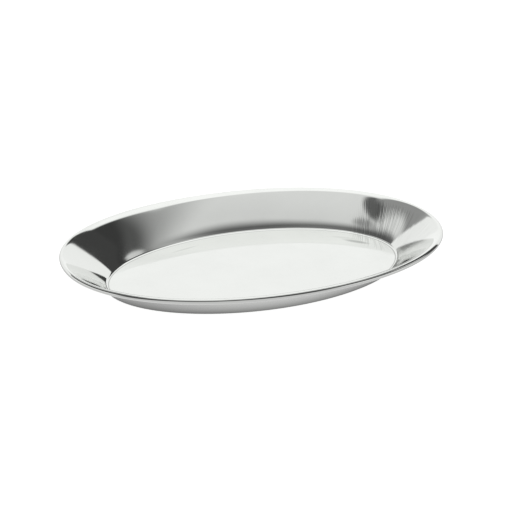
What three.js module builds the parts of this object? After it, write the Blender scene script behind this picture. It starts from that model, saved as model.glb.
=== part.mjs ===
// Oval dish pressed from one blank of stainless sheet, with its edge rolled over into a bead.
// Millimetres, +Z up. The origin is on the surface the dish stands on, under its centre;
// +X runs along its length and +Y across it.

import * as THREE from 'three';
import { mergeVertices } from 'three/addons/utils/BufferGeometryUtils.js';

// Driving dimensions
const LENGTH = 250;          // over the rolled rim
const WIDTH = 178;           // over the rolled rim
const HEIGHT = 22;           // from the table to the top of the rim
const SHEET = 0.8;           // thickness of the sheet
const BEAD_RADIUS = 1.6;     // outside of the rolled rim
const FLOOR_HALF_WIDTH = 60.5;  // flat part of the floor, from the middle to the start of its fillet
const FILLET_RADIUS = 2.5;   // inside corner between the floor and the wall
const WALL_FLARE = THREE.MathUtils.degToRad(12);  // how much the wall lies back from its foot to its head
const SHOULDER_RADIUS = 14;  // where the wall bends over into the rim
const RIM_SLOPE = THREE.MathUtils.degToRad(15);   // of the shoulder where it meets the rolled rim
const CURL_TURN = THREE.MathUtils.degToRad(270);  // how far the edge is rolled past the top of the rim

// The outline is an oval. Every level has the same difference between half length and half
// width, so that the wall is equally wide all round, and the oval fills out towards the rim.
const END_STRETCH = (LENGTH - WIDTH) / 2;
const FLOOR_EXPONENT = 1.97;
const RIM_EXPONENT = 2.1;
const END_SPREAD = 1.6;      // how much further out the wall's head lies at the two ends, where the shoulder is narrower

// Facets
const STEPS_ROUND = 96;
const STEPS_FILLET = 4;
const STEPS_WALL = 3;
const STEPS_SHOULDER = 2;
const STEPS_CURL = 9;

const QUARTER_TURN = Math.PI / 2;
const FIRST_SLOPE = Math.PI / 4;  // where the trials for the wall's slope start
const TRIALS = 30;                // far more than they need to settle
const MERGE_DISTANCE = 1e-4;      // points of the lathe this close are one point
const RIM_HALF_WIDTH = WIDTH / 2;
const beadCentre = new THREE.Vector2(RIM_HALF_WIDTH - BEAD_RADIUS, HEIGHT - BEAD_RADIUS);
const filletCentre = new THREE.Vector2(FLOOR_HALF_WIDTH, SHEET + FILLET_RADIUS);
const shoulderCentre = aboveSlope(beadCentre, RIM_SLOPE, BEAD_RADIUS - SHOULDER_RADIUS);

// A point at a distance from a centre, in the direction square to a slope and above it.
function aboveSlope(centre, slope, distance) {
  const across = new THREE.Vector2(-Math.sin(slope), Math.cos(slope));
  return across.multiplyScalar(distance).add(centre);
}

// The wall is one arc that leaves the fillet and meets the shoulder without a kink. Its two end
// slopes lie half the flare above and below the slope of its chord, found by repeated trial.
function wallSlopes() {
  let chordSlope = FIRST_SLOPE;
  for (let trial = 0; trial < TRIALS; trial++) {
    const foot = aboveSlope(filletCentre, chordSlope + WALL_FLARE / 2, -FILLET_RADIUS);
    const head = aboveSlope(shoulderCentre, chordSlope - WALL_FLARE / 2, SHOULDER_RADIUS);
    chordSlope = head.sub(foot).angle();
  }
  return { foot: chordSlope + WALL_FLARE / 2, head: chordSlope - WALL_FLARE / 2 };
}

const slopes = wallSlopes();
const wallFoot = aboveSlope(filletCentre, slopes.foot, -FILLET_RADIUS);
const wallHead = aboveSlope(shoulderCentre, slopes.head, SHOULDER_RADIUS);
const wallRadius = wallHead.distanceTo(wallFoot) / (2 * Math.sin(WALL_FLARE / 2));
const wallCentre = aboveSlope(wallFoot, slopes.foot, -wallRadius);

// Points along an arc of the section, from one slope to another.
function arc(centre, radius, fromSlope, toSlope, steps) {
  const points = [];
  for (let step = 0; step <= steps; step++) {
    const slope = THREE.MathUtils.lerp(fromSlope, toSlope, step / steps);
    points.push(aboveSlope(centre, slope, radius));
  }
  return points;
}

// One face of the sheet from the edge of the flat floor to the end of the curl, the given
// depth below the inside face.
function sheetFace(depth) {
  return [
    ...arc(filletCentre, -(FILLET_RADIUS + depth), 0, slopes.foot, STEPS_FILLET),
    ...arc(wallCentre, wallRadius - depth, slopes.foot, slopes.head, STEPS_WALL).slice(1),
    ...arc(shoulderCentre, SHOULDER_RADIUS - depth, slopes.head, RIM_SLOPE, STEPS_SHOULDER).slice(1),
    ...arc(beadCentre, BEAD_RADIUS - depth, 0, -CURL_TURN, STEPS_CURL),
  ];
}

// The section of the sheet: out along the underside, round the end of the curl, and back in
// over the inside face to the middle of the floor.
function section() {
  const underside = [new THREE.Vector2(0, 0), ...sheetFace(SHEET)];
  const inside = [new THREE.Vector2(0, SHEET), ...sheetFace(0)];
  return [...underside, ...inside.reverse()];
}

// How far a level is drawn out along the length. Inside the flat floor this grows from nothing
// at the middle, and it is largest at the wall's head.
function stretchAt(radius) {
  const fromFloor = (radius - FLOOR_HALF_WIDTH) / (wallHead.x - FLOOR_HALF_WIDTH);
  const fromRim = (RIM_HALF_WIDTH - radius) / (RIM_HALF_WIDTH - wallHead.x);
  const nearHead = THREE.MathUtils.smoothstep(Math.min(fromFloor, fromRim), 0, 1);
  return END_STRETCH * Math.min(radius / FLOOR_HALF_WIDTH, 1) + END_SPREAD * nearHead;
}

// Turns a round level of the lathe into an oval one.
function ovalPoint(radius, angle) {
  const stretch = stretchAt(radius);
  const rise = (radius - FLOOR_HALF_WIDTH) / (RIM_HALF_WIDTH - FLOOR_HALF_WIDTH);
  const exponent = THREE.MathUtils.lerp(FLOOR_EXPONENT, RIM_EXPONENT, Math.max(rise, 0));
  const squared = (value) => Math.sign(value) * Math.abs(value) ** (2 / exponent);
  return [(radius + stretch) * squared(Math.cos(angle)), radius * squared(Math.sin(angle))];
}

// The sheet spun round the vertical axis, with each level then drawn out into its oval.
function pressedSheet() {
  const spun = new THREE.LatheGeometry(section(), STEPS_ROUND);
  spun.rotateX(QUARTER_TURN);
  spun.deleteAttribute('normal');
  spun.deleteAttribute('uv');
  const geometry = mergeVertices(spun, MERGE_DISTANCE);
  const places = geometry.getAttribute('position');
  for (let i = 0; i < places.count; i++) {
    const radius = Math.hypot(places.getX(i), places.getY(i));
    const angle = Math.atan2(places.getY(i), places.getX(i));
    const [x, y] = ovalPoint(radius, angle);
    places.setXYZ(i, x, y, places.getZ(i));
  }
  geometry.computeVertexNormals();
  return geometry;
}

const polishedStainless = new THREE.MeshStandardMaterial({ color: 0xd3d5d1, roughness: 0.16, metalness: 1 });

const dish = new THREE.Mesh(pressedSheet(), polishedStainless);
dish.name = 'dish_body';

const object = new THREE.Group();
object.add(dish);

export default object;
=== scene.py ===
"""Oval dish pressed from one blank of stainless sheet, shown in a soft studio."""

import logging
import math
from dataclasses import dataclass, field
from enum import Enum

import bpy
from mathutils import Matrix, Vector


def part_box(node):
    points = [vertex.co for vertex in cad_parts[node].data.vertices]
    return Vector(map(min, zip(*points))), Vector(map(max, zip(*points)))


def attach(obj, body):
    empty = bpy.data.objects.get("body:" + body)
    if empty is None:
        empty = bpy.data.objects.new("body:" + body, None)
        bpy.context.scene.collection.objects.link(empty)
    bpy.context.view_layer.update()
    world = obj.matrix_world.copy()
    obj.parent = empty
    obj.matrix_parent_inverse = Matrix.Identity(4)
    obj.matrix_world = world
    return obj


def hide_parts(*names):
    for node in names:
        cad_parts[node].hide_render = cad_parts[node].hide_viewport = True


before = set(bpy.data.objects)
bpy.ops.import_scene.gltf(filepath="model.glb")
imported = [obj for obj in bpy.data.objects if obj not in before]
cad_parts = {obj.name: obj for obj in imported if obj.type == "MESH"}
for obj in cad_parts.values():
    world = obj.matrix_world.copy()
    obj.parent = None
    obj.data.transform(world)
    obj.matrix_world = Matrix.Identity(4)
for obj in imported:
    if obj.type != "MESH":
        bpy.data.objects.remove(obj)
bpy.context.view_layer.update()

MM = 0.001
FULL_TURN = 2 * math.pi
FIRST_SLOPE = math.pi / 4  # where the trials for the wall's slope start
SLOPE_TRIALS = 30  # far more than they need to settle
CAMERA_HEADING = math.radians(-22.7)  # anticlockwise from +Y

log = logging.getLogger("oval_dish")


class SheetFace(Enum):
    """The two faces of the pressed sheet, and the sign that the sheet attribute gives each."""

    INSIDE = 1
    UNDERSIDE = -1


def linear(hex_colour: str) -> tuple[float, float, float, float]:
    """Turns an sRGB hex colour into the linear one that shaders use.

    Args:
        hex_colour: Six hex digits, with or without a leading #.

    Returns:
        Linear red, green, blue and an alpha of 1.
    """
    digits = hex_colour.lstrip("#")
    channels = [int(digits[i : i + 2], 16) / 255 for i in (0, 2, 4)]
    curved = [c / 12.92 if c <= 0.04045 else ((c + 0.055) / 1.055) ** 2.4 for c in channels]
    return (curved[0], curved[1], curved[2], 1.0)


def add_node(tree: bpy.types.NodeTree, kind: str, settings: dict | None = None,
             inputs: dict | None = None) -> bpy.types.Node:
    """Adds one shader node, with its settings and what feeds it.

    Args:
        tree: The node tree that the node is added to.
        kind: The node's Blender type name.
        settings: The node's own properties, by name.
        inputs: A value, or another node's output socket, for each input name or number.

    Returns:
        The new node.
    """
    node = tree.nodes.new(kind)
    for name, value in (settings or {}).items():
        setattr(node, name, value)
    for name, value in (inputs or {}).items():
        if isinstance(value, bpy.types.NodeSocket):
            tree.links.new(value, node.inputs[name])
        else:
            node.inputs[name].default_value = value
    return node


@dataclass
class PressedSection:
    """The section of the pressed sheet, from the middle of the floor to the end of the curl.

    Attributes:
        half_width: Half the dish's width over the rolled rim.
        height: Height of the top of the rim.
        sheet: Thickness of the sheet.
        bead_radius: Outside radius of the rolled rim.
        floor_half_width: Half width of the flat floor.
        fillet_radius: Inside corner between the floor and the wall.
        wall_flare: How much the wall lies back between its foot and its head.
        shoulder_radius: Where the wall bends over into the rim.
        rim_slope: Slope of the shoulder where it meets the rolled rim.
        curl_turn: How far the edge is rolled past the top of the rim.
        floor_rings: Rings of faces across the flat floor. The fields after it that end in steps
            say how many lengths the other parts of the section are divided into.
        foot_slope: Slope of the wall where it leaves the fillet.
        head_slope: Slope of the wall where it meets the shoulder.
        wall_radius: Radius of the wall's slight curve.
        wall_centre: Middle of that curve.
    """

    half_width: float
    height: float
    sheet: float = 0.8 * MM
    bead_radius: float = 1.6 * MM
    floor_half_width: float = 60.5 * MM
    fillet_radius: float = 2.5 * MM
    wall_flare: float = math.radians(12)
    shoulder_radius: float = 14.0 * MM
    rim_slope: float = math.radians(15)
    curl_turn: float = math.radians(270)
    floor_rings: int = 6
    fillet_steps: int = 12
    wall_steps: int = 14
    shoulder_steps: int = 8
    crown_steps: int = 3
    curl_steps: int = 27
    foot_slope: float = field(init=False)
    head_slope: float = field(init=False)
    wall_radius: float = field(init=False)
    wall_centre: Vector = field(init=False)

    def __post_init__(self) -> None:
        """Finds the wall's arc, which leaves the fillet and meets the shoulder without a kink."""
        chord = FIRST_SLOPE
        for _ in range(SLOPE_TRIALS):
            foot = self.above(self.fillet_centre, chord + self.wall_flare / 2, -self.fillet_radius)
            head = self.above(self.shoulder_centre, chord - self.wall_flare / 2, self.shoulder_radius)
            chord = math.atan2(head.y - foot.y, head.x - foot.x)
        self.foot_slope = chord + self.wall_flare / 2
        self.head_slope = chord - self.wall_flare / 2
        self.wall_radius = (head - foot).length / (2 * math.sin(self.wall_flare / 2))
        self.wall_centre = self.above(foot, self.foot_slope, -self.wall_radius)

    @property
    def bead_centre(self) -> Vector:
        """Middle of the rolled rim."""
        return Vector((self.half_width - self.bead_radius, self.height - self.bead_radius))

    @property
    def shoulder_centre(self) -> Vector:
        """Middle of the arc that bends the wall over into the rim."""
        return self.above(self.bead_centre, self.rim_slope, self.bead_radius - self.shoulder_radius)

    @property
    def fillet_centre(self) -> Vector:
        """Middle of the arc between the floor and the wall."""
        return Vector((self.floor_half_width, self.sheet + self.fillet_radius))

    @property
    def wall_foot_along(self) -> float:
        """Distance along the sheet from the middle of the floor to the wall's foot."""
        return self.floor_half_width + self.fillet_radius * self.foot_slope

    @property
    def wall_head_along(self) -> float:
        """Distance along the sheet from the middle of the floor to the shoulder."""
        return self.wall_foot_along + self.wall_radius * self.wall_flare

    @property
    def head_half_width(self) -> float:
        """Half width at the wall's head."""
        return self.above(self.shoulder_centre, self.head_slope, self.shoulder_radius).x

    @staticmethod
    def above(centre: Vector, slope: float, distance: float) -> Vector:
        """Gives the point at a distance from a centre, square to a slope and above it."""
        return centre + Vector((-math.sin(slope), math.cos(slope))) * distance

    def arc(self, centre: Vector, radius: float, start: float, end: float, steps: int) -> list[Vector]:
        """Gives points along an arc of the section.

        Args:
            centre: Middle of the arc.
            radius: Its radius, negative where the arc lies below its centre.
            start: Slope of the sheet where the arc starts.
            end: Slope of the sheet where it ends.
            steps: How many lengths it is divided into.

        Returns:
            The points after the first, as far as the end.
        """
        slopes = [start + (end - start) * step / steps for step in range(1, steps + 1)]
        return [self.above(centre, slope, radius) for slope in slopes]

    def face(self, depth: float) -> list[Vector]:
        """Gives the section of one face of the sheet, without the point on the axis.

        Args:
            depth: Distance below the inside face.

        Returns:
            Points of (distance from the middle, height).
        """
        rings = range(1, self.floor_rings + 1)
        level = self.sheet - depth
        flat = [Vector((self.floor_half_width * ring / self.floor_rings, level)) for ring in rings]
        fillet = self.arc(
            self.fillet_centre, -(self.fillet_radius + depth), 0, self.foot_slope, self.fillet_steps)
        wall = self.arc(
            self.wall_centre, self.wall_radius - depth, self.foot_slope, self.head_slope, self.wall_steps)
        shoulder = self.arc(
            self.shoulder_centre, self.shoulder_radius - depth,
            self.head_slope, self.rim_slope, self.shoulder_steps)
        bead = self.bead_radius - depth
        crown = self.arc(self.bead_centre, bead, self.rim_slope, 0, self.crown_steps)
        curl = self.arc(self.bead_centre, bead, 0, -self.curl_turn, self.curl_steps)
        return flat + fillet + wall + shoulder + crown + curl


@dataclass
class PressedDish:
    """The dish itself: one sheet, pressed to an oval and rolled over at the rim.

    Attributes:
        section: Its section on the short axis.
        half_length: Half its length over the rolled rim.
        end_spread: How much further out the wall's head lies at the two ends, where the shoulder
            is narrower.
        floor_exponent: How full the oval of the floor is. 2 is an ellipse.
        rim_exponent: How full the oval of the rim is.
        round_steps: Facets round the oval.
        sheet_attribute: Name of the attribute that says where on the sheet a point lies: the cosine
            and sine of its angle round the dish, then its distance along the sheet from the middle
            of the floor, which is negative on the underside.
        crease_angle: Edges that bend more than this stay sharp.
    """

    section: PressedSection
    half_length: float
    end_spread: float = 1.6 * MM
    floor_exponent: float = 1.97
    rim_exponent: float = 2.1
    round_steps: int = 320
    sheet_attribute: str = "sheet"
    crease_angle: float = math.radians(40)

    def oval_point(self, distance: float, angle: float) -> tuple[float, float]:
        """Gives a point of the oval at one level of the section.

        Args:
            distance: The level's half width.
            angle: Where on the oval, from the end at +X.

        Returns:
            The point's x and y.
        """
        floor, rim = self.section.floor_half_width, self.section.half_width
        head = self.section.head_half_width
        stretch = (self.half_length - rim) * min(distance / floor, 1)
        near_head = max(min((distance - floor) / (head - floor), (rim - distance) / (rim - head)), 0)
        stretch += self.end_spread * near_head * near_head * (3 - 2 * near_head)
        rise = max((distance - floor) / (rim - floor), 0)
        exponent = self.floor_exponent + (self.rim_exponent - self.floor_exponent) * rise

        def squared(value: float) -> float:
            """Draws a sine or cosine out to the fullness of the oval."""
            return math.copysign(abs(value) ** (2 / exponent), value)

        return (distance + stretch) * squared(math.cos(angle)), distance * squared(math.sin(angle))

    def build(self) -> bpy.types.Object:
        """Builds the sheet as one closed mesh and marks every point with its place on the sheet.

        Returns:
            The dish, smooth but for the cut edge inside the curl.
        """
        underside = self.section.face(self.section.sheet)
        inside = self.section.face(0)
        levels = underside + inside[::-1]
        signs = [SheetFace.UNDERSIDE.value] * len(underside) + [SheetFace.INSIDE.value] * len(inside)
        distances = self.along(underside) + self.along(inside)[::-1]
        angles = [FULL_TURN * step / self.round_steps for step in range(self.round_steps)]
        points = [(*self.oval_point(level.x, angle), level.y) for level in levels for angle in angles]
        marks = [(math.cos(a), math.sin(a), s * d) for s, d in zip(signs, distances) for a in angles]
        middles = [(0, 0, 0), (0, 0, self.section.sheet)]
        bottom, top = len(points), len(points) + 1
        mesh = bpy.data.meshes.new("pressed_dish")
        mesh.from_pydata(points + middles, [], self.faces(len(levels), bottom, top))
        mesh.update()
        attribute = mesh.attributes.new(self.sheet_attribute, "FLOAT_VECTOR", "POINT")
        attribute.data.foreach_set("vector", [c for mark in marks + [(0, 0, 0), (0, 0, 0)] for c in mark])
        mesh.shade_smooth()
        mesh.set_sharp_from_angle(angle=self.crease_angle)
        dish = bpy.data.objects.new("pressed_dish", mesh)
        bpy.context.scene.collection.objects.link(dish)
        return dish

    def along(self, face: list[Vector]) -> list[float]:
        """Gives each point's distance along the sheet from the middle of the floor.

        Args:
            face: Points of one face of the section, from the floor outwards.

        Returns:
            Their distances, in the same order.
        """
        lengths = [face[0].x]
        for near, far in zip(face, face[1:]):
            lengths.append(lengths[-1] + (far - near).length)
        return lengths

    def faces(self, levels: int, bottom: int, top: int) -> list[tuple[int, ...]]:
        """Joins the rings of points into faces that look outwards.

        Args:
            levels: How many rings there are, from the underside's middle to the inside's.
            bottom: Index of the middle of the underside.
            top: Index of the middle of the inside.

        Returns:
            Quads between the rings and triangles round the two middles.
        """
        count = self.round_steps
        steps = [(step, (step + 1) % count) for step in range(count)]
        quads = [
            (low * count + a, low * count + b, (low + 1) * count + b, (low + 1) * count + a)
            for low in range(levels - 1)
            for a, b in steps
        ]
        last = (levels - 1) * count
        return quads + [(bottom, b, a) for a, b in steps] + [(top, last + a, last + b) for a, b in steps]

    def dress(self, body: bpy.types.Object) -> None:
        """Gives the dish its finish and its body, and hides the imported dish_body part.

        Args:
            body: The dish, as built.
        """
        finish = PolishedStainless(self.section, self.half_length, self.sheet_attribute)
        body.data.materials.append(finish.material())
        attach(body, "root")
        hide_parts("dish_body")


@dataclass(frozen=True)
class PaintedDentReflection:
    """A faint grey mark painted on the floor of the dish: a painted reflection of a shallow dent, which
    mirrors darker surroundings.

    Attributes:
        place: Its middle, in the dish's own frame.
        half_length: Half its length.
        half_width: Half its width.
        turn: How far it is turned anticlockwise, seen from above.
        strength: How grey it is, up to 1.
        full_share: Share of its size within which it is at its full strength.
    """

    place: tuple[float, float]
    half_length: float
    half_width: float
    turn: float
    strength: float
    full_share: float = 0.3


@dataclass(frozen=True)
class PolishedStainless:
    """Austenitic stainless sheet, deep drawn and then polished with a soft wheel.

    Polishing leaves near-mirror reflections whose edges are only slightly soft. The faint lines of
    the wheel run round the dish, and stretching over the punch leaves fine ridges up one end.

    Attributes:
        section: The dish's section.
        half_length: Half the dish's length.
        sheet_attribute: Name of the attribute that says where on the sheet a point lies.
        clean: Colour where it is clean.
        handled: Colour where it has been handled.
        roughness_low: Roughness where it is clean.
        roughness_high: Roughness where it is smeared most.
        smear_range: The smear pattern's values at those two.
        smear_length: Size of the smears.
        underside_roughness: How much rougher the underside is.
        marks: Grey marks on the floor of the dish, painted reflections of shallow dents.
        dent_reflection_grey: Their colour.
    """

    section: PressedSection
    half_length: float
    sheet_attribute: str
    clean: str = "#EBECEA"
    handled: str = "#E3E4E2"
    roughness_low: float = 0.03
    roughness_high: float = 0.10
    smear_range: tuple[float, float] = (0.35, 0.70)
    smear_length: float = 30 * MM
    underside_roughness: float = 0.1
    # Painted reflections of shallow dents in the floor: their grey, and where they lie.
    dent_reflection_grey: str = "#B9BAB8"
    marks: tuple[PaintedDentReflection, ...] = (
        PaintedDentReflection((80 * MM, 15 * MM), 12 * MM, 3.0 * MM, math.radians(-47), 1.0),
        PaintedDentReflection((76 * MM, 24 * MM), 14 * MM, 2.6 * MM, math.radians(-40), 0.25),
        PaintedDentReflection((-32 * MM, 47 * MM), 14 * MM, 1.4 * MM, math.radians(15), 0.3),
    )
    # Wheel lines are about 0.05 mm apart; drawn at 0.5 mm, the finest that shows.
    wheel_line: float = 0.5 * MM
    wheel_depth: float = 0.0006 * MM
    # They run far round the dish: this many noise cells from its side to its end.
    wheel_cells_round: float = 2.0
    # Draw ridges are about 2 mm apart, so that a noise cell is half of that.
    ridge_cell: float = 1.0 * MM
    ridge_run: float = 40.0 * MM
    ridge_depth: float = 0.045 * MM
    # Angle, in radians, that they lean round the dish for each half width along the sheet.
    ridge_lean: float = 0.6
    # The cosine of the angle from the end at +X where they start, and where they are full.
    ridge_ends: tuple[float, float] = (0.82, 0.92)
    # They are fainter on the -Y side: the sine of that angle where they are faintest, and where full.
    ridge_sides: tuple[float, float] = (-0.1, 0.3)
    ridge_faintest: float = 0.2
    # They fade out over this length at the wall's foot and head.
    ridge_fade: float = 4 * MM
    # Painted shade: the troughs are painted darker than the crests, for the streaks that the ridges show
    # in reflection.
    trough_shade: str = "#8F908E"
    trough_shade_strength: float = 0.45
    trough_shade_range: tuple[float, float] = (0.55, 0.38)
    # Painted shade: a thin grey line painted along the corner round the floor.
    corner_shade: str = "#6F706E"
    corner_shade_width: float = 0.5 * MM
    corner_shade_strength: float = 0.55
    # The blank keeps a slight wave, a few hundredths of a millimetre over 45 mm.
    wave_length: float = 45 * MM
    wave_depth: float = 0.05 * MM
    # A few specks are pressed into the sheet.
    speck_spacing: float = 24 * MM
    speck_size: float = 0.55 * MM
    speck_depth: float = 0.02 * MM

    def material(self) -> bpy.types.Material:
        """Makes the finish.

        Returns:
            The material, ready for the dish.
        """
        finish = bpy.data.materials.new("polished_stainless")
        finish.use_nodes = True
        tree = finish.node_tree
        tree.nodes.clear()
        place = add_node(tree, "ShaderNodeTexCoord").outputs["Object"]
        sheet = add_node(
            tree, "ShaderNodeAttribute", {"attribute_name": self.sheet_attribute}).outputs["Vector"]
        parts = add_node(tree, "ShaderNodeSeparateXYZ", inputs={0: sheet})
        smear = add_node(tree, "ShaderNodeTexNoise", inputs={
            "Vector": place, "Scale": 1 / self.smear_length,
            "Detail": 4.0, "Roughness": 0.6}).outputs["Fac"]
        ridges = self.ridge_pattern(tree, sheet, parts)
        ridged = self.ridge_mask(tree, parts)
        polished = add_node(tree, "ShaderNodeMix", {"data_type": "RGBA"}, {
            "Factor": smear, 6: linear(self.clean), 7: linear(self.handled)}).outputs[2]
        colour = self.lay_painted_shade(tree, parts, ridges, ridged, polished)
        # Lays the painted dent reflections grey over the floor's colour.
        for mark in self.marks:
            cover = self.dent_reflection_mask(tree, place, parts, mark)
            colour = add_node(tree, "ShaderNodeMix", {"data_type": "RGBA"}, {
                "Factor": cover, 6: colour, 7: linear(self.dent_reflection_grey)}).outputs[2]
        shader = add_node(tree, "ShaderNodeBsdfPrincipled", inputs={
            "Base Color": colour,
            "Metallic": 1.0,
            "Roughness": self.roughness(tree, parts, smear),
            "Normal": self.relief(tree, place, sheet, ridges, ridged)})
        add_node(tree, "ShaderNodeOutputMaterial", inputs={"Surface": shader.outputs["BSDF"]})
        return finish

    def dent_reflection_mask(self, tree: bpy.types.NodeTree, place: bpy.types.NodeSocket, parts: bpy.types.Node,
                  mark: PaintedDentReflection) -> bpy.types.NodeSocket:
        """Finds where a painted dent reflection covers the inside face.

        Args:
            tree: The material's nodes.
            place: The point in the dish's own frame.
            parts: The sheet attribute, separated.
            mark: The mark.

        Returns:
            The mark's strength, which fades to 0 at its edge.
        """
        moved = add_node(tree, "ShaderNodeVectorMath", {"operation": "SUBTRACT"}, {
            0: place, 1: (*mark.place, 0.0)})
        turned = add_node(tree, "ShaderNodeVectorRotate", {"rotation_type": "Z_AXIS"}, {
            "Vector": moved.outputs[0], "Angle": -mark.turn})
        sized = add_node(tree, "ShaderNodeVectorMath", {"operation": "MULTIPLY"}, {
            0: turned.outputs[0], 1: (1 / mark.half_length, 1 / mark.half_width, 0.0)})
        reach = add_node(tree, "ShaderNodeVectorMath", {"operation": "LENGTH"}, {0: sized.outputs[0]})
        cover = add_node(tree, "ShaderNodeMapRange", {"interpolation_type": "SMOOTHSTEP"}, {
            "Value": reach.outputs["Value"], "From Min": 1.0, "From Max": mark.full_share,
            "To Max": mark.strength})
        inside = add_node(tree, "ShaderNodeMath", {"operation": "GREATER_THAN"}, {
            0: parts.outputs["Z"], 1: 0.0})
        return add_node(tree, "ShaderNodeMath", {"operation": "MULTIPLY"}, {
            0: cover.outputs[0], 1: inside.outputs[0]}).outputs[0]

    def roughness(self, tree: bpy.types.NodeTree, parts: bpy.types.Node,
                  smear: bpy.types.NodeSocket) -> bpy.types.NodeSocket:
        """Makes the roughness: smeared by handling, and a little duller under the dish.

        Args:
            tree: The material's nodes.
            parts: The sheet attribute, separated.
            smear: The smear pattern.

        Returns:
            The roughness output.
        """
        polish = add_node(tree, "ShaderNodeMapRange", inputs={
            "Value": smear, "From Min": self.smear_range[0], "From Max": self.smear_range[1],
            "To Min": self.roughness_low, "To Max": self.roughness_high})
        under = add_node(tree, "ShaderNodeMath", {"operation": "LESS_THAN"}, {
            0: parts.outputs["Z"], 1: 0.0})
        return add_node(tree, "ShaderNodeMath", {"operation": "MULTIPLY_ADD"}, {
            0: under.outputs[0], 1: self.underside_roughness, 2: polish.outputs[0]}).outputs[0]

    def ridge_pattern(self, tree: bpy.types.NodeTree, sheet: bpy.types.NodeSocket,
                      parts: bpy.types.Node) -> bpy.types.NodeSocket:
        """Makes the pattern of the draw ridges, which run up the wall and lean a little.

        Args:
            tree: The material's nodes.
            sheet: The sheet attribute.
            parts: The same, separated.

        Returns:
            The pattern, from about 0.3 in a trough to 0.7 on a crest.
        """
        lean = add_node(tree, "ShaderNodeMath", {"operation": "MULTIPLY"}, {
            0: parts.outputs["Z"], 1: -self.ridge_lean / self.section.half_width})
        leaning = add_node(tree, "ShaderNodeVectorRotate", {"rotation_type": "Z_AXIS"}, {
            "Vector": sheet, "Angle": lean.outputs[0]})
        cells = self.half_length / self.ridge_cell
        ridge_place = add_node(tree, "ShaderNodeVectorMath", {"operation": "MULTIPLY"}, {
            0: leaning.outputs[0], 1: (cells, cells, 1 / self.ridge_run)})
        return add_node(tree, "ShaderNodeTexNoise", inputs={
            "Vector": ridge_place.outputs[0], "Scale": 1.0, "Detail": 0.0}).outputs["Fac"]

    def ridge_mask(self, tree: bpy.types.NodeTree, parts: bpy.types.Node) -> bpy.types.NodeSocket:
        """Keeps the draw ridges to the wall, near the end at +X and mostly on its +Y side.

        Args:
            tree: The material's nodes.
            parts: The sheet attribute, separated.

        Returns:
            1 where the ridges are full and 0 where there are none.
        """
        near_end = add_node(tree, "ShaderNodeMapRange", {"interpolation_type": "SMOOTHSTEP"}, {
            "Value": parts.outputs["X"], "From Min": self.ridge_ends[0], "From Max": self.ridge_ends[1]})
        side = add_node(tree, "ShaderNodeMapRange", {"interpolation_type": "SMOOTHSTEP"}, {
            "Value": parts.outputs["Y"], "From Min": self.ridge_sides[0], "From Max": self.ridge_sides[1],
            "To Min": self.ridge_faintest})
        sided = add_node(tree, "ShaderNodeMath", {"operation": "MULTIPLY"}, {
            0: near_end.outputs[0], 1: side.outputs[0]})
        foot, head = self.section.wall_foot_along, self.section.wall_head_along
        distance = add_node(tree, "ShaderNodeMath", {"operation": "ABSOLUTE"}, {0: parts.outputs["Z"]})
        above_foot = add_node(tree, "ShaderNodeMapRange", inputs={
            "Value": distance.outputs[0],
            "From Min": foot - self.ridge_fade, "From Max": foot + self.ridge_fade})
        below_head = add_node(tree, "ShaderNodeMapRange", inputs={
            "Value": distance.outputs[0], "From Min": head, "From Max": head - self.ridge_fade})
        on_wall = add_node(tree, "ShaderNodeMath", {"operation": "MULTIPLY"}, {
            0: above_foot.outputs[0], 1: below_head.outputs[0]})
        return add_node(tree, "ShaderNodeMath", {"operation": "MULTIPLY"}, {
            0: sided.outputs[0], 1: on_wall.outputs[0]}).outputs[0]

    def lay_painted_shade(self, tree: bpy.types.NodeTree, parts: bpy.types.Node, ridges: bpy.types.NodeSocket,
                   ridged: bpy.types.NodeSocket, polished: bpy.types.NodeSocket) -> bpy.types.NodeSocket:
        """Lays painted shade into the ridges' troughs and along the corner round the floor.

        Args:
            tree: The material's nodes.
            parts: The sheet attribute, separated.
            ridges: The pattern of the draw ridges.
            ridged: Where they are.
            polished: The colour elsewhere.

        Returns:
            The colour with both laid over it.
        """
        # Painted shade in the ridges' troughs, where the pattern is low.
        trough_shade = add_node(tree, "ShaderNodeMapRange", {"interpolation_type": "SMOOTHSTEP"}, {
            "Value": ridges, "From Min": self.trough_shade_range[0], "From Max": self.trough_shade_range[1],
            "To Max": self.trough_shade_strength})
        cover = add_node(tree, "ShaderNodeMath", {"operation": "MULTIPLY"}, {
            0: trough_shade.outputs[0], 1: ridged})
        over_trough_shade = add_node(tree, "ShaderNodeMix", {"data_type": "RGBA"}, {
            "Factor": cover.outputs[0], 6: polished, 7: linear(self.trough_shade)})
        # Painted shade: a thin dark line along the corner round the floor.
        from_corner = add_node(tree, "ShaderNodeMath", {"operation": "SUBTRACT"}, {
            0: parts.outputs["Z"], 1: self.section.floor_half_width})
        off_line = add_node(tree, "ShaderNodeMath", {"operation": "ABSOLUTE"}, {0: from_corner.outputs[0]})
        line = add_node(tree, "ShaderNodeMapRange", {"interpolation_type": "SMOOTHSTEP"}, {
            "Value": off_line.outputs[0], "From Min": self.corner_shade_width, "From Max": 0.0,
            "To Max": self.corner_shade_strength})
        return add_node(tree, "ShaderNodeMix", {"data_type": "RGBA"}, {
            "Factor": line.outputs[0], 6: over_trough_shade.outputs[2], 7: linear(self.corner_shade)}).outputs[2]

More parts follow.
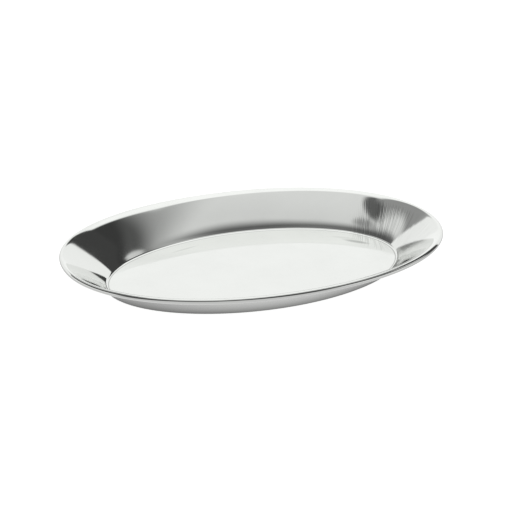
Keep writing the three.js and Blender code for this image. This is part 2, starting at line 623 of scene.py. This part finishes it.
    def relief(self, tree: bpy.types.NodeTree, place: bpy.types.NodeSocket, sheet: bpy.types.NodeSocket,
               ridges: bpy.types.NodeSocket, ridged: bpy.types.NodeSocket) -> bpy.types.NodeSocket:
        """Makes the fine relief: the blank's wave, the draw ridges, the wheel lines and specks.

        Args:
            tree: The material's nodes.
            place: The point in the dish's own frame.
            sheet: The sheet attribute.
            ridges: The pattern of the draw ridges.
            ridged: Where they are.

        Returns:
            The bumped normal.
        """
        wave = add_node(tree, "ShaderNodeTexNoise", inputs={
            "Vector": place, "Scale": 1 / self.wave_length, "Detail": 1.0})
        ridge_height = add_node(tree, "ShaderNodeMath", {"operation": "MULTIPLY"}, {0: ridges, 1: ridged})
        line_place = add_node(tree, "ShaderNodeVectorMath", {"operation": "MULTIPLY"}, {
            0: sheet, 1: (self.wheel_cells_round, self.wheel_cells_round, 1 / self.wheel_line)})
        lines = add_node(tree, "ShaderNodeTexNoise", inputs={
            "Vector": line_place.outputs[0], "Scale": 1.0, "Detail": 1.0})
        specks = add_node(tree, "ShaderNodeTexVoronoi", inputs={
            "Vector": place, "Scale": 1 / self.speck_spacing, "Randomness": 1.0})
        pits = add_node(tree, "ShaderNodeMapRange", inputs={
            "Value": specks.outputs["Distance"], "From Min": 0.0,
            "From Max": self.speck_size / self.speck_spacing})
        normal = None
        for height, depth in (
            (wave.outputs["Fac"], self.wave_depth),
            (ridge_height.outputs[0], self.ridge_depth),
            (lines.outputs["Fac"], self.wheel_depth),
            (pits.outputs[0], self.speck_depth),
        ):
            inputs = {"Height": height, "Distance": depth, "Strength": 1.0}
            if normal is not None:
                inputs["Normal"] = normal
            normal = add_node(tree, "ShaderNodeBump", inputs=inputs).outputs["Normal"]
        return normal


@dataclass(frozen=True)
class StudioPatch:
    """A light or dark area of the studio round the dish, placed on a plan of the sky above it.

    On the plan the zenith is 0, 0, and the horizon is the circle of radius 1. Right and away are
    as someone standing at the camera sees them.

    Attributes:
        right: Middle of the patch to the right.
        away: Middle of the patch away from the camera.
        half_width: Half its width.
        half_depth: Half its depth.
        softness: Width of its faded edge, as a share of its half sizes.
        brightness: How bright it is.
        turn: How far it is turned anticlockwise on the plan.
        square: True for a panel, False for a round patch.
    """

    right: float
    away: float
    half_width: float
    half_depth: float
    softness: float
    brightness: float
    turn: float = 0.0
    square: bool = True


@dataclass
class SoftStudio:
    """A plain pale floor in a soft studio of white panels, a white ceiling and dark corners.

    Attributes:
        heading: Direction that the camera looks in, anticlockwise from +Y.
        surround: Brightness where there is no patch.
        tint: Colour of everything that the metal mirrors.
        floor_colour: Colour of the floor.
        table_glow: How brightly the floor is lit from below.
        floor_radius: Half the floor's side.
        key_power: Power of the soft light over the dish.
        key_size: Its side.
        key_height: Its height.
        patches: Light and dark areas, each laid over the ones before it.
        low_light: Brightness round the horizon.
        low_edge: Where it ends: the sines of the two elevations between which it fades.
        shade_squash: Makes the shade under the dish as oval as the dish.
        shade_foot: Where the shade is darkest, from its middle along the short axis.
        shade_rise: How far out from there it ends.
        shade_dark: Brightness of the mirrored table at its darkest.
        shade_light: Brightness where the shade ends.
        shade_far: Brightness further out.
        shade_fall: How far out from the foot the brightness starts to fall again, and stops.
        shade_lift: How high the mirrored table lies over the floor.
    """

    heading: float
    surround: float = 0.10
    tint: str = "#F7F8F7"
    floor_colour: str = "#A0A09F"
    table_glow: float = 0.92
    floor_radius: float = 6.0
    key_power: float = 5.0
    key_size: float = 1.6
    key_height: float = 1.5
    patches: tuple[StudioPatch, ...] = (
        # unlit side of the studio over the camera, and the paler wall below it
        StudioPatch(0.0, -0.62, 0.80, 0.30, 0.30, 0.08, square=False),
        StudioPatch(0.0, -0.99, 0.75, 0.17, 0.50, 0.60, square=False),
        # white ceiling over the dish, brightest at its middle, which ends in the dark all round
        StudioPatch(0.05, 0.35, 0.71, 0.71, 0.17, 0.78, square=False),
        StudioPatch(-0.03, 0.30, 0.44, 0.46, 0.90, 0.86, square=False),
        # grey side of the studio at the left, with a window's light on it
        StudioPatch(-0.46, 0.45, 0.20, 0.34, 0.70, 0.34, square=False),
        StudioPatch(-0.58, 0.38, 0.07, 0.27, 0.75, 0.85, turn=0.10, square=False),
        # dark stand at the left
        StudioPatch(-0.40, 0.15, 0.12, 0.09, 0.50, 0.13, square=False),
        StudioPatch(-0.47, -0.03, 0.05, 0.13, 0.90, 0.38, turn=0.70, square=False),
        # dark corner at the right, with a narrow window beside it
        StudioPatch(0.64, 0.42, 0.36, 0.40, 0.70, 0.40, square=False),
        StudioPatch(0.62, 0.52, 0.24, 0.36, 0.60, 0.10, turn=0.35, square=False),
        StudioPatch(0.55, 0.64, 0.21, 0.28, 0.40, 0.05, turn=0.45, square=False),
        StudioPatch(0.775, 0.30, 0.07, 0.18, 0.30, 0.80, square=False),
        # white sweep behind the dish, from the horizon up to the ceiling, cut off at the right by the dark
        StudioPatch(0.03, 0.70, 0.37, 0.44, 0.22, 1.13),
        StudioPatch(0.03, 0.47, 0.33, 0.22, 0.60, 1.22),
        StudioPatch(0.479, 0.758, 0.31, 0.15, 0.12, 0.06, turn=-0.686),
        # white walls low at both sides
        StudioPatch(0.645, 1.022, 0.45, 0.30, 0.05, 1.07, turn=-0.39),
        StudioPatch(-0.722, 0.917, 0.45, 0.30, 0.05, 1.06, turn=0.63),
    )
    low_light: float = 1.05
    low_edge: tuple[float, float] = (0.20, 0.34)
    shade_squash: float = 0.63
    shade_foot: float = 61 * MM
    shade_rise: float = 7.5 * MM
    shade_dark: float = 0.10
    shade_light: float = 0.88
    shade_far: float = 0.66
    shade_fall: tuple[float, float] = (9 * MM, 30 * MM)
    shade_lift: float = 0.01 * MM

    def build(self) -> list[bpy.types.Object]:
        """Builds the surroundings, the key light and the floor.

        Returns:
            The floor and its shade, which are staging and not part of the dish.
        """
        self.surroundings()
        self.key_light()
        return [self.floor(), self.table_shade()]

    def surroundings(self) -> None:
        """Makes what the polished metal mirrors, as brightness by direction from the dish."""
        world = bpy.data.worlds.new("soft_studio")
        bpy.context.scene.world = world
        world.use_nodes = True
        tree = world.node_tree
        tree.nodes.clear()
        direction = add_node(tree, "ShaderNodeTexCoord").outputs["Generated"]
        turned = add_node(tree, "ShaderNodeVectorRotate", {"rotation_type": "Z_AXIS"}, {
            "Vector": direction, "Angle": -self.heading})
        plan = add_node(tree, "ShaderNodeSeparateXYZ", inputs={0: turned.outputs[0]})
        low = add_node(tree, "ShaderNodeMapRange", {"interpolation_type": "SMOOTHSTEP"}, {
            "Value": plan.outputs["Z"], "From Min": self.low_edge[1], "From Max": self.low_edge[0]})
        brightness = add_node(tree, "ShaderNodeMix", {"data_type": "FLOAT"}, {
            "Factor": low.outputs[0], 2: self.surround, 3: self.low_light}).outputs[0]
        for patch in self.patches:
            cover = self.patch_mask(tree, turned.outputs[0], patch)
            brightness = add_node(tree, "ShaderNodeMix", {"data_type": "FLOAT"}, {
                "Factor": cover, 2: brightness, 3: patch.brightness}).outputs[0]
        tinted = add_node(tree, "ShaderNodeVectorMath", {"operation": "SCALE"}, {
            0: linear(self.tint)[:3], "Scale": brightness})
        background = add_node(tree, "ShaderNodeBackground", inputs={"Color": tinted.outputs[0]})
        add_node(tree, "ShaderNodeOutputWorld", inputs={"Surface": background.outputs[0]})

    def patch_mask(self, tree: bpy.types.NodeTree, direction: bpy.types.NodeSocket,
                   patch: StudioPatch) -> bpy.types.NodeSocket:
        """Finds where a patch covers the plan of the sky.

        Args:
            tree: The world's nodes.
            direction: Direction from the dish, turned so that Y is away from the camera.
            patch: The patch.

        Returns:
            1 inside the patch, 0 outside it and a smooth step between.
        """
        moved = add_node(tree, "ShaderNodeVectorMath", {"operation": "SUBTRACT"}, {
            0: direction, 1: (patch.right, patch.away, 0.0)})
        turned = add_node(tree, "ShaderNodeVectorRotate", {"rotation_type": "Z_AXIS"}, {
            "Vector": moved.outputs[0], "Angle": -patch.turn})
        sized = add_node(tree, "ShaderNodeVectorMath", {"operation": "MULTIPLY"}, {
            0: turned.outputs[0], 1: (1 / patch.half_width, 1 / patch.half_depth, 0.0)})
        # A panel reaches as far on either axis, and a round patch as far in every direction.
        if patch.square:
            either = add_node(tree, "ShaderNodeVectorMath", {"operation": "ABSOLUTE"}, {
                0: sized.outputs[0]})
            sides = add_node(tree, "ShaderNodeSeparateXYZ", inputs={0: either.outputs[0]})
            reach = add_node(tree, "ShaderNodeMath", {"operation": "MAXIMUM"}, {
                0: sides.outputs["X"], 1: sides.outputs["Y"]}).outputs[0]
        else:
            reach = add_node(tree, "ShaderNodeVectorMath", {"operation": "LENGTH"}, {
                0: sized.outputs[0]}).outputs["Value"]
        step = add_node(tree, "ShaderNodeMapRange", {"interpolation_type": "SMOOTHSTEP"}, {
            "Value": reach, "From Min": 1 + patch.softness / 2, "From Max": 1 - patch.softness / 2})
        return step.outputs[0]

    def key_light(self) -> None:
        """Adds a large soft light over the dish. It lights the floor, and the metal doesn't mirror it."""
        data = bpy.data.lights.new("key_softbox", "AREA")
        data.shape = "SQUARE"
        data.size = self.key_size
        data.energy = self.key_power
        lamp = bpy.data.objects.new("key_softbox", data)
        lamp.location = (0, 0, self.key_height)
        lamp.visible_glossy = False
        bpy.context.scene.collection.objects.link(lamp)

    def floor(self) -> bpy.types.Object:
        """Makes the plain pale floor, a white table lit from below, so that it takes hardly any shadow.

        It can be looked through from below.

        Returns:
            The floor.
        """
        floor, tree = self.sheet_of_floor("studio_floor", 0.0)
        matt = add_node(tree, "ShaderNodeBsdfDiffuse", inputs={"Color": linear(self.floor_colour)})
        glow = add_node(tree, "ShaderNodeEmission", inputs={"Strength": self.table_glow})
        lit = add_node(tree, "ShaderNodeAddShader", inputs={0: matt.outputs[0], 1: glow.outputs[0]})
        self.seen_from_above(tree, lit.outputs[0])
        floor.visible_glossy = False
        return floor

    def table_shade(self) -> bpy.types.Object:
        """Makes the table as the polished metal mirrors it, with the shade that gathers under the dish.

        The floor is an even white round the dish, and only the metal still shows the shade.

        Returns:
            The mirrored table, which only reflections see.
        """
        shade, tree = self.sheet_of_floor("table_shade", self.shade_lift)
        place = add_node(tree, "ShaderNodeTexCoord").outputs["Object"]
        round_place = add_node(tree, "ShaderNodeVectorMath", {"operation": "MULTIPLY"}, {
            0: place, 1: (self.shade_squash, 1.0, 1.0)})
        distance = add_node(tree, "ShaderNodeVectorMath", {"operation": "LENGTH"}, {
            0: round_place.outputs[0]}).outputs["Value"]
        under = add_node(tree, "ShaderNodeMapRange", inputs={
            "Value": distance, "From Min": self.shade_foot, "From Max": self.shade_foot + self.shade_rise,
            "To Min": self.shade_dark, "To Max": self.shade_light})
        beyond = add_node(tree, "ShaderNodeMapRange", inputs={
            "Value": distance,
            "From Min": self.shade_foot + self.shade_fall[0],
            "From Max": self.shade_foot + self.shade_fall[1],
            "To Min": 1.0, "To Max": self.shade_far / self.shade_light})
        strength = add_node(tree, "ShaderNodeMath", {"operation": "MULTIPLY"}, {
            0: under.outputs[0], 1: beyond.outputs[0]})
        glow = add_node(tree, "ShaderNodeEmission", inputs={"Strength": strength.outputs[0]})
        self.seen_from_above(tree, glow.outputs[0])
        shade.visible_camera = False
        shade.visible_diffuse = False
        shade.visible_shadow = False
        return shade

    def sheet_of_floor(self, name: str, height: float) -> tuple[bpy.types.Object, bpy.types.NodeTree]:
        """Adds a large flat square with an empty material of the same name.

        Args:
            name: Name of the object, its mesh and its material.
            height: How high it lies.

        Returns:
            The object and its material's node tree.
        """
        reach = self.floor_radius
        corners = [(x * reach, y * reach, height) for x, y in ((-1, -1), (1, -1), (1, 1), (-1, 1))]
        mesh = bpy.data.meshes.new(name)
        mesh.from_pydata(corners, [], [(0, 1, 2, 3)])
        material = bpy.data.materials.new(name)
        material.use_nodes = True
        material.node_tree.nodes.clear()
        mesh.materials.append(material)
        square = bpy.data.objects.new(name, mesh)
        bpy.context.scene.collection.objects.link(square)
        return square, material.node_tree

    def seen_from_above(self, tree: bpy.types.NodeTree, surface: bpy.types.NodeSocket) -> None:
        """Ends a material with a surface that can be looked through from below.

        Args:
            tree: The material's nodes.
            surface: The surface as it is from above.
        """
        clear = add_node(tree, "ShaderNodeBsdfTransparent")
        side = add_node(tree, "ShaderNodeNewGeometry").outputs["Backfacing"]
        both = add_node(tree, "ShaderNodeMixShader", inputs={0: side, 1: surface, 2: clear.outputs[0]})
        add_node(tree, "ShaderNodeOutputMaterial", inputs={"Surface": both.outputs[0]})


@dataclass
class CatalogueCamera:
    """A long lens a little above the dish, looking across it from one side.

    Attributes:
        heading: Direction that the camera looks in, anticlockwise from +Y.
        elevation: Height above the horizon.
        distance: Distance from the dish.
        lens: Focal length in millimetres.
        aim: The point that the camera looks at.
    """

    heading: float
    elevation: float = math.radians(22.6)
    distance: float = 0.7404
    lens: float = 81.4
    aim: tuple[float, float, float] = (0.0, 0.0, 8.8 * MM)

    def build(self) -> bpy.types.Object:
        """Places the camera and makes it the scene's own.

        Returns:
            The camera.
        """
        data = bpy.data.cameras.new("catalogue_camera")
        data.lens = self.lens
        camera = bpy.data.objects.new("catalogue_camera", data)
        back = Vector((
            math.sin(self.heading) * math.cos(self.elevation),
            -math.cos(self.heading) * math.cos(self.elevation),
            math.sin(self.elevation),
        ))
        camera.location = Vector(self.aim) + back * self.distance
        camera.rotation_euler = (-back).to_track_quat("-Z", "Y").to_euler()
        bpy.context.scene.collection.objects.link(camera)
        bpy.context.scene.camera = camera
        return camera


def main() -> None:
    """Builds the camera, the studio and the dish, in that order."""
    logging.basicConfig(level=logging.INFO, format="%(name)s: %(message)s")
    bpy.context.scene.view_settings.view_transform = "Standard"
    camera = CatalogueCamera(CAMERA_HEADING).build()
    log.info("camera %s looks from %s", camera.name, tuple(round(c, 3) for c in camera.location))
    for staging in SoftStudio(CAMERA_HEADING).build():
        log.info("staging %s", staging.name)

    low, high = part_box("dish_body")
    section = PressedSection(half_width=(high.y - low.y) / 2, height=high.z)
    dish = PressedDish(section, half_length=(high.x - low.x) / 2)
    body = dish.build()
    dish.dress(body)
    log.info("piece %s has %d faces", body.name, len(body.data.polygons))


if __name__ == "__main__":
    main()
